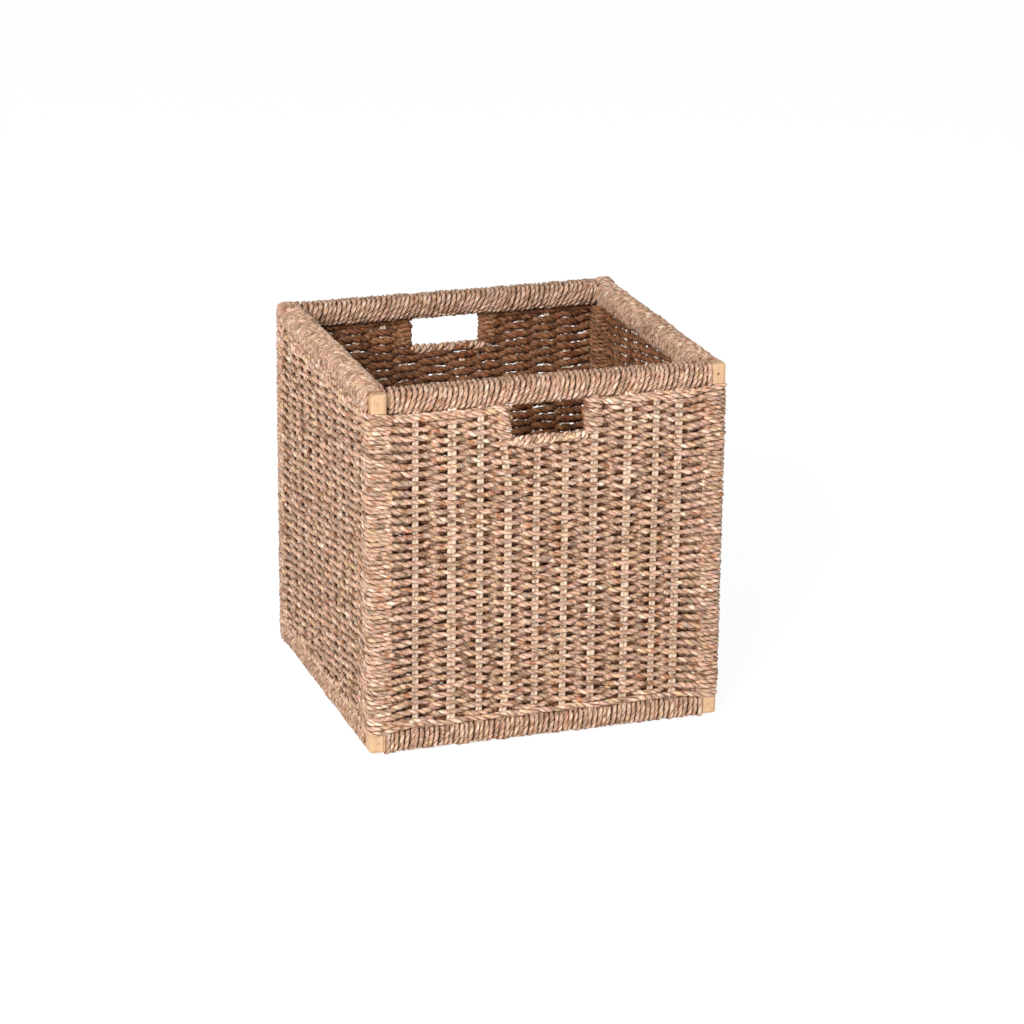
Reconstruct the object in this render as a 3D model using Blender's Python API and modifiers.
"""Seagrass storage basket: a wooden frame of four corner posts and eight rails,
with twisted seagrass cord woven round pale upright stakes and wound over every rail.

Metres, +Z up. The origin is the middle of the footprint, on the floor.
The front is -Y, the back +Y, the left side -X and the right side +X.
"""

import math
from collections import namedtuple

import bmesh
import bpy
from mathutils import Matrix

# ---- driving dimensions ----------------------------------------------------------
GAP = 0.0003  # clearance between neighbouring pieces
SLACK = 0.0002  # a winding's hole is this much roomier than the stakes' own channels
OVERSHOOT = 0.02  # how far cutters reach past the posts' outer faces
CUT_MARGIN = 0.05  # extra length of a cutter that runs right through, front to back

WOOD_W = 0.316  # frame width over the corner posts
WOOD_D = 0.292  # frame depth over the corner posts
WOOD_BOTTOM = 0.0035  # the posts hang this far above the floor, the wound rails rest on it
WOOD_TOP = 0.3235
POST = 0.016  # square section of a corner post
POST_EDGE = 0.003  # rounding of the post's edges
REBATE = 0.002  # the post's two outer faces are cut back this much behind the weave
REBATE_EDGE = POST_EDGE + 0.001  # radius of the outer corner where it is cut back
BLOCK_LOW = 0.020  # the uncut foot of a post ends here
BLOCK_HIGH = 0.306  # the uncut head of a post starts here
UNTRIMMED_HEAD = "front_right"  # the other three heads are trimmed at the side and on top
HEAD_SIDE = 0.0022
HEAD_TOP = 0.0012
TRIM_MARGIN = 0.01  # the trimming cutter reaches this far above TOP and inwards of the post

WRAP = 0.0235  # section of a rail with its cord winding
WRAP_R = 0.009  # corner radius of that section
WRAP_PROUD = 0.0015  # the winding stands this far outside the posts
TOP = 0.325  # the top of the windings, and of the basket

RAIL_T = 0.010  # rail core, across the wall
RAIL_H = 0.0125  # rail core, height
RAIL_EDGE = 0.003
RAIL_TO_STAKE = 0.0005  # clearance between a rail core and the stakes outside it
RAIL_LOW_Z = 0.01375  # height of the bottom rails' centre
RAIL_TOP_Z = 0.3140  # height of the top rails' centre

# corner radii of the hole through a winding; its inner corners follow the rail's edge
WINDING_HOLE_UPPER_R = 0.005  # upper outer corner
SIDE_WINDING_HOLE_LOWER_R = 0.006  # lower outer corner, bottom rails at left and right

WEAVE_PROUD = 0.002  # the woven wall stands this far outside the posts
WALL_T = 0.0115  # thickness of the woven wall
WALL_R = 0.006  # outer corner radius of the woven wall

# X of the front-to-back strips, which are unevenly spaced
STAKE_PLACES_X = (
    -0.1170, -0.0850, -0.0600, -0.0395, -0.0100,
    0.0155, 0.0410, 0.0710, 0.0965, 0.1170,
)
STAKES = len(STAKE_PLACES_X)  # upright stakes in each wall
STAKE_PITCH = 0.0262  # the left-to-right strips are evenly spaced
STAKE_W = 0.007
STAKE_T = 0.0022
STAKE_IN = 0.0059  # from the weave's outer face to the stake's centre plane
STAKE_TOP = 0.3140
STAKE_TOP_AT_HOLE = 0.2645  # the two middle stakes stop under the hand hole's bar
FLOOR_Z_ALONG_X = 0.0026  # height of the floor strips that run left to right
FLOOR_Z_ALONG_Y = 0.0059  # height of the floor strips that run front to back
BEND_ALONG_X = 0.005  # chamfer where a strip turns from the floor up a wall
BEND_ALONG_Y = 0.003

HOLE_HALF = 0.034  # half the width of a hand hole
HOLE_LOW = 0.2655
BAR_LOW = 0.2658  # the wound bar along the hole's lower edge
BAR_HIGH = 0.2752
BAR_R = 0.004  # corner radius of the bar's winding
BAR_INSET = 0.0005  # the bar's winding lies this far inside both faces of the wall
BAR_CORE = 0.0046  # the straight run of cord inside that winding
BAR_IN = 0.0058  # from the weave's outer face to the bar core's centre
BAR_CORE_HALF = 0.0355
BAR_POCKET_END = 0.0007  # clearance past each end of the bar core

FLOOR_LOW = 0.0006  # underside of the woven floor
FLOOR_HIGH = 0.0105
FLOOR_R = 0.002  # corner radius of the woven floor

NAIL_R = 0.0009
NAIL_LENGTH = 0.026
NAIL_SIDES = 12
NAIL_HOLE_OUT = 0.004  # the hole's cutter stands this far outside the post's face
NAIL_X = 0.1505
NAIL_LEVELS = (("top", 0.3145), ("bottom", 0.0130))  # level, height

WELD = 1e-6  # vertices nearer than this are merged
SHARP_ANGLE = math.radians(35)  # edges that turn more than this are shaded sharp

# ---- derived ---------------------------------------------------------------------
HALF_W, HALF_D = WOOD_W / 2, WOOD_D / 2
OUT_X, OUT_Y = HALF_W + WEAVE_PROUD, HALF_D + WEAVE_PROUD  # outer faces of the weave
WRAP_X = HALF_W + WRAP_PROUD - WRAP / 2  # centres of the wound sections
WRAP_Y = HALF_D + WRAP_PROUD - WRAP / 2
WRAP_LOW_Z, WRAP_TOP_Z = WRAP / 2, TOP - WRAP / 2
RAIL_BETWEEN_X = HALF_W - POST - GAP  # half length of a front or back rail
RAIL_BETWEEN_Y = HALF_D - POST - GAP  # half length of a left or right rail
STAKE_X = OUT_X - STAKE_IN  # centre planes of the stakes
STAKE_Y = OUT_Y - STAKE_IN
RAIL_X = STAKE_X - STAKE_T / 2 - RAIL_TO_STAKE - RAIL_T / 2  # centres of the rail cores
RAIL_Y = STAKE_Y - STAKE_T / 2 - RAIL_TO_STAKE - RAIL_T / 2
WEAVE_LOW = WRAP + GAP
WEAVE_HIGH = TOP - WRAP - GAP
THROUGH_DEPTH = WOOD_D + CUT_MARGIN

# label, side along X, side along Y
CORNERS = (
    ("front_left", -1, -1),
    ("front_right", 1, -1),
    ("back_left", -1, 1),
    ("back_right", 1, 1),
)

# local x, y, z of a flat outline sent to world axes
ALONG_X = Matrix(((0, 0, 1, 0), (1, 0, 0, 0), (0, 1, 0, 0), (0, 0, 0, 1)))  # outline in YZ
ALONG_Y = Matrix(((1, 0, 0, 0), (0, 0, -1, 0), (0, 1, 0, 0), (0, 0, 0, 1)))  # outline in XZ
ALONG_Z = Matrix.Identity(4)  # outline in XY


# ---- scene -----------------------------------------------------------------------
for old in list(bpy.data.objects):
    bpy.data.objects.remove(old, do_unlink=True)

PARTS = bpy.data.collections.new("seagrass_storage_basket")
CUTTERS = bpy.data.collections.new("cutters")
bpy.context.scene.collection.children.link(PARTS)
bpy.context.scene.collection.children.link(CUTTERS)


def material(name, colour, roughness, metallic=0.0):
    made = bpy.data.materials.new(name)
    made.use_nodes = True
    shader = made.node_tree.nodes["Principled BSDF"]
    shader.inputs["Base Color"].default_value = (*colour, 1.0)
    shader.inputs["Roughness"].default_value = roughness
    shader.inputs["Metallic"].default_value = metallic
    made.diffuse_color = (*colour, 1.0)
    return made


WOOD = material("honey_wood", colour=(0.58, 0.36, 0.18), roughness=0.55)
CORD = material("seagrass_cord", colour=(0.50, 0.38, 0.25), roughness=0.80)
CANE = material("pale_stake", colour=(0.80, 0.70, 0.52), roughness=0.65)
STEEL = material("nail_steel", colour=(0.45, 0.44, 0.42), roughness=0.40, metallic=1.0)


# ---- building blocks -------------------------------------------------------------
def rounded(x0, x1, y0, y1, radii, steps=3):
    """A rectangle's outline. radii is one radius, or four:
    lower left, lower right, upper right, upper left."""
    if not isinstance(radii, tuple):
        radii = (radii,) * 4
    # corner point, direction from it to the rectangle's inside, start angle of its arc
    corners = ((x0, y0, 1, 1, 180), (x1, y0, -1, 1, 270), (x1, y1, -1, -1, 0), (x0, y1, 1, -1, 90))
    points = []
    for (x, y, in_x, in_y, start), radius in zip(corners, radii):
        if radius <= 0:
            points.append((x, y))
            continue
        for k in range(steps + 1):
            angle = math.radians(start + 90 * k / steps)
            points.append((
                x + in_x * radius + radius * math.cos(angle),
                y + in_y * radius + radius * math.sin(angle),
            ))
    return points


def square(x, y, half, radius):
    return rounded(x - half, x + half, y - half, y + half, radius)


def mirrored(outline, sign):
    return [(sign * x, y) for x, y in outline]


def settle(obj, coat):
    """Files obj as a part with its material, or as a hidden cutter if coat is None."""
    for home in list(obj.users_collection):
        home.objects.unlink(obj)
    if coat is None:
        CUTTERS.objects.link(obj)
        obj.hide_render = True
        obj.display_type = "WIRE"
    else:
        PARTS.objects.link(obj)
        obj.data.materials.append(coat)
        obj.data.shade_smooth()
        obj.data.set_sharp_from_angle(angle=SHARP_ANGLE)
    return obj


def as_mesh(obj):
    """A curve object made a mesh object in the same place, caps welded and faces outwards."""
    graph = bpy.context.evaluated_depsgraph_get()
    mesh = bpy.data.meshes.new_from_object(obj.evaluated_get(graph))
    mesh.materials.clear()
    bm = bmesh.new()
    bm.from_mesh(mesh)
    bmesh.ops.remove_doubles(bm, verts=bm.verts, dist=WELD)
    bmesh.ops.recalc_face_normals(bm, faces=bm.faces)
    bm.to_mesh(mesh)
    bm.free()
    name, place, curve = obj.name, obj.matrix_world.copy(), obj.data
    bpy.data.objects.remove(obj, do_unlink=True)
    bpy.data.curves.remove(curve)
    mesh.name = name
    made = bpy.data.objects.new(name, mesh)
    made.matrix_world = place
    return made


def flat_solid(name, outlines, turn, length, coat=None, centre=(0, 0, 0)):
    """A filled flat outline given a thickness: its plane is set by turn, its middle by centre."""
    curve = bpy.data.curves.new(name, "CURVE")
    curve.dimensions = "2D"
    curve.fill_mode = "BOTH"
    curve.extrude = length / 2
    for outline in outlines:
        spline = curve.splines.new("POLY")
        spline.points.add(len(outline) - 1)
        for point, (x, y) in zip(spline.points, outline):
            point.co = (x, y, 0.0, 1.0)
        spline.use_cyclic_u = True
    obj = bpy.data.objects.new(name, curve)
    obj.matrix_world = Matrix.Translation(centre) @ turn
    CUTTERS.objects.link(obj)
    bpy.context.view_layer.update()
    return settle(as_mesh(obj), coat)


def joined(name, pieces):
    """Several cutters made one, so that a single Boolean uses them all."""
    bm = bmesh.new()
    for piece in pieces:
        mesh = piece.data.copy()
        mesh.transform(piece.matrix_world)
        bm.from_mesh(mesh)
        bpy.data.meshes.remove(mesh)
        bpy.data.objects.remove(piece, do_unlink=True)
    mesh = bpy.data.meshes.new(name)
    bm.to_mesh(mesh)
    bm.free()
    return settle(bpy.data.objects.new(name, mesh), None)


def cut(obj, *cutters):
    for cutter in cutters:
        boolean = obj.modifiers.new("cut_" + cutter.name, "BOOLEAN")
        boolean.operation = "DIFFERENCE"
        boolean.solver = "EXACT"
        boolean.object = cutter


# ---- stakes: each bent strip runs down one wall, under the floor and up the other ----
def bent_strip(half, low, bend, top, grow):
    """Outline of a U-shaped strip, its centre line at +-half and low, grown all round by grow."""
    half_t = STAKE_T / 2 + grow
    cut_back = half_t * (2 - math.sqrt(2))  # keeps the 45 degree bend as thick as the strip
    high = top + grow
    outer_x, outer_z, outer_bend = half + half_t, low - half_t, bend + cut_back
    inner_x, inner_z, inner_bend = half - half_t, low + half_t, bend - cut_back
    return [
        (-outer_x, high), (-outer_x, outer_z + outer_bend), (-outer_x + outer_bend, outer_z),
        (outer_x - outer_bend, outer_z), (outer_x, outer_z + outer_bend), (outer_x, high),
        (inner_x, high), (inner_x, inner_z + inner_bend), (inner_x - inner_bend, inner_z),
        (-inner_x + inner_bend, inner_z), (-inner_x, inner_z + inner_bend), (-inner_x, high),
    ]


def strip_front_to_back(name, k, coat=None):
    """Strip k from the left, or the cutter for its channel if coat is None."""
    grow = 0.0 if coat else GAP
    is_middle = k in (STAKES // 2 - 1, STAKES // 2)
    top = STAKE_TOP_AT_HOLE if is_middle else STAKE_TOP
    outline = bent_strip(STAKE_Y, FLOOR_Z_ALONG_Y, BEND_ALONG_Y, top, grow)
    centre = (STAKE_PLACES_X[k], 0, 0)
    return flat_solid(name, [outline], ALONG_X, STAKE_W + 2 * grow, coat, centre)


def strip_left_to_right(name, k, coat=None):
    """Strip k from the front, or the cutter for its channel if coat is None."""
    grow = 0.0 if coat else GAP
    outline = bent_strip(STAKE_X, FLOOR_Z_ALONG_X, BEND_ALONG_X, STAKE_TOP, grow)
    centre = (0, (k - (STAKES - 1) / 2) * STAKE_PITCH, 0)
    return flat_solid(name, [outline], ALONG_Y, STAKE_W + 2 * grow, coat, centre)


for k in range(STAKES):
    strip_front_to_back(f"stake_front_to_back_{k + 1:02d}", k, CANE)
    strip_left_to_right(f"stake_left_to_right_{k + 1:02d}", k, CANE)
channels_y = joined(
    "stake_channels_y", [strip_front_to_back(f"channel_y_{k}", k) for k in range(STAKES)]
)
channels_x = joined(
    "stake_channels_x", [strip_left_to_right(f"channel_x_{k}", k) for k in range(STAKES)]
)


# ---- nails: driven from the front and back through the posts into the side rails' ends ----
def nail(name, side_x, side_y, z, radius, length, out, coat=None):
    """A round nail along Y. out is how far its head end stands outside the post's face."""
    bpy.ops.mesh.primitive_cylinder_add(
        vertices=NAIL_SIDES,
        radius=radius,
        depth=length,
        location=(side_x * NAIL_X, side_y * (HALF_D + out - length / 2), z),
        rotation=(math.pi / 2, 0, 0),
    )
    obj = bpy.context.object
    obj.name = obj.data.name = name
    return settle(obj, coat)


def nails():
    """All eight nails. Returns the cutter for their holes."""
    holes = []
    hole_length = NAIL_LENGTH + GAP + NAIL_HOLE_OUT
    for label, side_x, side_y in CORNERS:
        for level, z in NAIL_LEVELS:
            place = (side_x, side_y, z)
            nail(f"nail_{level}_{label}", *place, NAIL_R, NAIL_LENGTH, 0.0, STEEL)
            hole_name = f"hole_{level}_{label}"
            holes.append(nail(hole_name, *place, NAIL_R + GAP, hole_length, NAIL_HOLE_OUT))
    bpy.context.view_layer.update()
    return joined("nail_holes", holes)


nail_holes = nails()


# ---- corner posts: full section at head and foot, cut back in between for the weave ----
def post_rebate():
    far_x, far_y = HALF_W + OVERSHOOT, HALF_D + OVERSHOOT
    near_x, near_y = HALF_W - REBATE, HALF_D - REBATE
    outlines = [
        rounded(-far_x, far_x, -far_y, far_y, 0),
        rounded(-near_x, near_x, -near_y, near_y, REBATE_EDGE),
    ]
    centre = (0, 0, (BLOCK_LOW + BLOCK_HIGH) / 2)
    return flat_solid("post_rebate", outlines, ALONG_Z, BLOCK_HIGH - BLOCK_LOW, centre=centre)


def head_trim(side_x):
    """What is taken off the heads' side and top, with the edge between them rounded."""
    side, top, far = HALF_W - HEAD_SIDE, WOOD_TOP - HEAD_TOP, HALF_W + OVERSHOOT
    inner, above = HALF_W - POST - TRIM_MARGIN, TOP + TRIM_MARGIN
    edge = [
        (side - POST_EDGE * (1 - math.cos(angle)), top - POST_EDGE * (1 - math.sin(angle)))
        for angle in (math.radians(90 * k / 3) for k in range(4))
    ]
    outline = [
        (far, BLOCK_HIGH), (side, BLOCK_HIGH), *edge, (inner, top), (inner, above), (far, above),
    ]
    name = f"head_trim_{side_x}"
    return flat_solid(name, [mirrored(outline, side_x)], ALONG_Y, THROUGH_DEPTH)


def corner_post(label, side_x, side_y, cutters):
    centre_x, centre_y = side_x * (HALF_W - POST / 2), side_y * (HALF_D - POST / 2)
    bpy.ops.mesh.primitive_cube_add(
        size=1.0, location=(centre_x, centre_y, (WOOD_BOTTOM + WOOD_TOP) / 2)
    )
    post = bpy.context.object
    post.name = post.data.name = f"corner_post_{label}"
    post.scale = (POST, POST, WOOD_TOP - WOOD_BOTTOM)
    bpy.ops.object.transform_apply(location=False, rotation=False, scale=True)
    settle(post, WOOD)
    bevel = post.modifiers.new("edges", "BEVEL")
    bevel.width = POST_EDGE
    bevel.segments = 2
    bevel.limit_method = "NONE"
    cut(post, *cutters)


rebate = post_rebate()
head_trims = {side_x: head_trim(side_x) for side_x in (-1, 1)}
for label, side_x, side_y in CORNERS:
    trims = [] if label == UNTRIMMED_HEAD else [head_trims[side_x]]
    corner_post(label, side_x, side_y, [rebate, *trims, nail_holes])


# ---- rails: a wooden core between two posts, and the cord wound round it ---------
# rail, winding and stake are distances from the basket's middle to their centres
Wall = namedtuple("Wall", "turn half_length rail winding stake floor_z hole_lower_r channels")
FRONT_OR_BACK = Wall(
    ALONG_X, RAIL_BETWEEN_X, RAIL_Y, WRAP_Y, STAKE_Y, FLOOR_Z_ALONG_Y, RAIL_EDGE, channels_y
)
LEFT_OR_RIGHT = Wall(
    ALONG_Y, RAIL_BETWEEN_Y, RAIL_X, WRAP_X, STAKE_X, FLOOR_Z_ALONG_X,
    SIDE_WINDING_HOLE_LOWER_R, channels_x,
)
WALLS = (
    ("front", -1, FRONT_OR_BACK),
    ("back", 1, FRONT_OR_BACK),
    ("left", -1, LEFT_OR_RIGHT),
    ("right", 1, LEFT_OR_RIGHT),
)


def winding_relief():
    """Room for the front and back windings, which is cut from the side ones."""
    pieces = []
    for sign in (-1, 1):
        for z in (WRAP_LOW_Z, WRAP_TOP_Z):
            y = sign * WRAP_Y
            outline = rounded(
                y - WRAP / 2 - GAP, y + WRAP / 2 + GAP, z - WRAP / 2 - GAP, z + WRAP / 2 + GAP, WRAP_R
            )
            length = 2 * (RAIL_BETWEEN_X + GAP)
            pieces.append(flat_solid(f"relief_{sign}_{z}", [outline], ALONG_X, length))
    return joined("winding_relief", pieces)


def rail_core(name, sign, wall, rail_z):
    outline = rounded(
        wall.rail - RAIL_T / 2, wall.rail + RAIL_T / 2,
        rail_z - RAIL_H / 2, rail_z + RAIL_H / 2, RAIL_EDGE,
    )
    return flat_solid(name, [mirrored(outline, sign)], wall.turn, 2 * wall.half_length, WOOD)


def winding_hole(wall, level, rail_z):
    """The hole in a winding that holds the rail core and the stakes beside or under it."""
    inside = wall.rail - RAIL_T / 2 - GAP
    outside = wall.stake + STAKE_T / 2 + GAP + SLACK
    high = rail_z + RAIL_H / 2 + GAP
    if level == "top":
        low, lower_r = rail_z - RAIL_H / 2 - GAP, RAIL_EDGE
    else:
        low, lower_r = wall.floor_z - STAKE_T / 2 - GAP - SLACK, wall.hole_lower_r
    radii = (RAIL_EDGE, lower_r, WINDING_HOLE_UPPER_R, RAIL_EDGE)
    return rounded(inside, outside, low, high, radii)


def rail_winding(name, sign, wall, level, wrap_z, rail_z):
    outer = square(wall.winding, wrap_z, WRAP / 2, WRAP_R)
    outlines = [mirrored(outline, sign) for outline in (outer, winding_hole(wall, level, rail_z))]
    winding = flat_solid(name, outlines, wall.turn, 2 * wall.half_length, CORD)
    cut(winding, wall.channels)
    return winding


relief = winding_relief()
for level, wrap_z, rail_z in (("top", WRAP_TOP_Z, RAIL_TOP_Z), ("bottom", WRAP_LOW_Z, RAIL_LOW_Z)):
    for side, sign, wall in WALLS:
        core = rail_core(f"{level}_rail_{side}", sign, wall, rail_z)
        winding = rail_winding(f"{level}_rail_winding_{side}", sign, wall, level, wrap_z, rail_z)
        if wall is LEFT_OR_RIGHT:
            cut(core, nail_holes)
            cut(winding, relief)


# ---- hand holes: a wound bar along the lower edge, front and back ----------------
def hand_hole_bar(side, sign):
    """The bar's straight cord and its winding. Returns the cutter for its place in the wall."""
    y, z = OUT_Y - BAR_IN, (BAR_LOW + BAR_HIGH) / 2
    core_r = BAR_CORE / 2
    bore_r = core_r + GAP
    core = mirrored(square(y, z, core_r, core_r), sign)
    bore = mirrored(square(y, z, bore_r, bore_r), sign)
    outer = rounded(OUT_Y - WALL_T + BAR_INSET, OUT_Y - BAR_INSET, BAR_LOW, BAR_HIGH, BAR_R)
    flat_solid(f"hand_hole_core_{side}", [core], ALONG_X, 2 * BAR_CORE_HALF, CORD)
    flat_solid(
        f"hand_hole_winding_{side}", [mirrored(outer, sign), bore], ALONG_X,
        2 * (HOLE_HALF - GAP), CORD,
    )
    return flat_solid(f"pocket_{side}", [bore], ALONG_X, 2 * (BAR_CORE_HALF + BAR_POCKET_END))


bar_pockets = joined("bar_pockets", [hand_hole_bar("front", -1), hand_hole_bar("back", 1)])
hand_holes = flat_solid(
    "hand_holes", [rounded(-HOLE_HALF, HOLE_HALF, HOLE_LOW, TOP, 0)], ALONG_Y, THROUGH_DEPTH
)


# ---- the woven wall: one ring round the four posts, with a channel for every stake ----
def woven_wall():
    in_x, in_y = OUT_X - WALL_T, OUT_Y - WALL_T
    outlines = [
        rounded(-OUT_X, OUT_X, -OUT_Y, OUT_Y, WALL_R),
        rounded(-in_x, in_x, -in_y, in_y, 0),
    ]
    centre = (0, 0, (WEAVE_LOW + WEAVE_HIGH) / 2)
    return flat_solid("woven_wall", outlines, ALONG_Z, WEAVE_HIGH - WEAVE_LOW, CORD, centre)


def post_room():
    """The posts' cut-back sections with clearance, rounded only at the basket's outer corners."""
    section = rounded(
        HALF_W - POST - GAP, HALF_W - REBATE + GAP,
        HALF_D - POST - GAP, HALF_D - REBATE + GAP,
        (0, 0, REBATE_EDGE, 0),
    )
    outlines = [
        [(side_x * x, side_y * y) for x, y in section] for _, side_x, side_y in CORNERS
    ]
    return flat_solid("post_room", outlines, ALONG_Z, TOP, centre=(0, 0, TOP / 2))


cut(woven_wall(), post_room(), channels_y, channels_x, hand_holes, bar_pockets)


# ---- the woven floor, between the bottom windings --------------------------------
def woven_floor():
    half_x, half_y = WRAP_X - WRAP / 2 - GAP, WRAP_Y - WRAP / 2 - GAP
    outline = rounded(-half_x, half_x, -half_y, half_y, FLOOR_R, steps=2)
    centre = (0, 0, (FLOOR_LOW + FLOOR_HIGH) / 2)
    return flat_solid("woven_floor", [outline], ALONG_Z, FLOOR_HIGH - FLOOR_LOW, CORD, centre)


cut(woven_floor(), channels_y, channels_x)
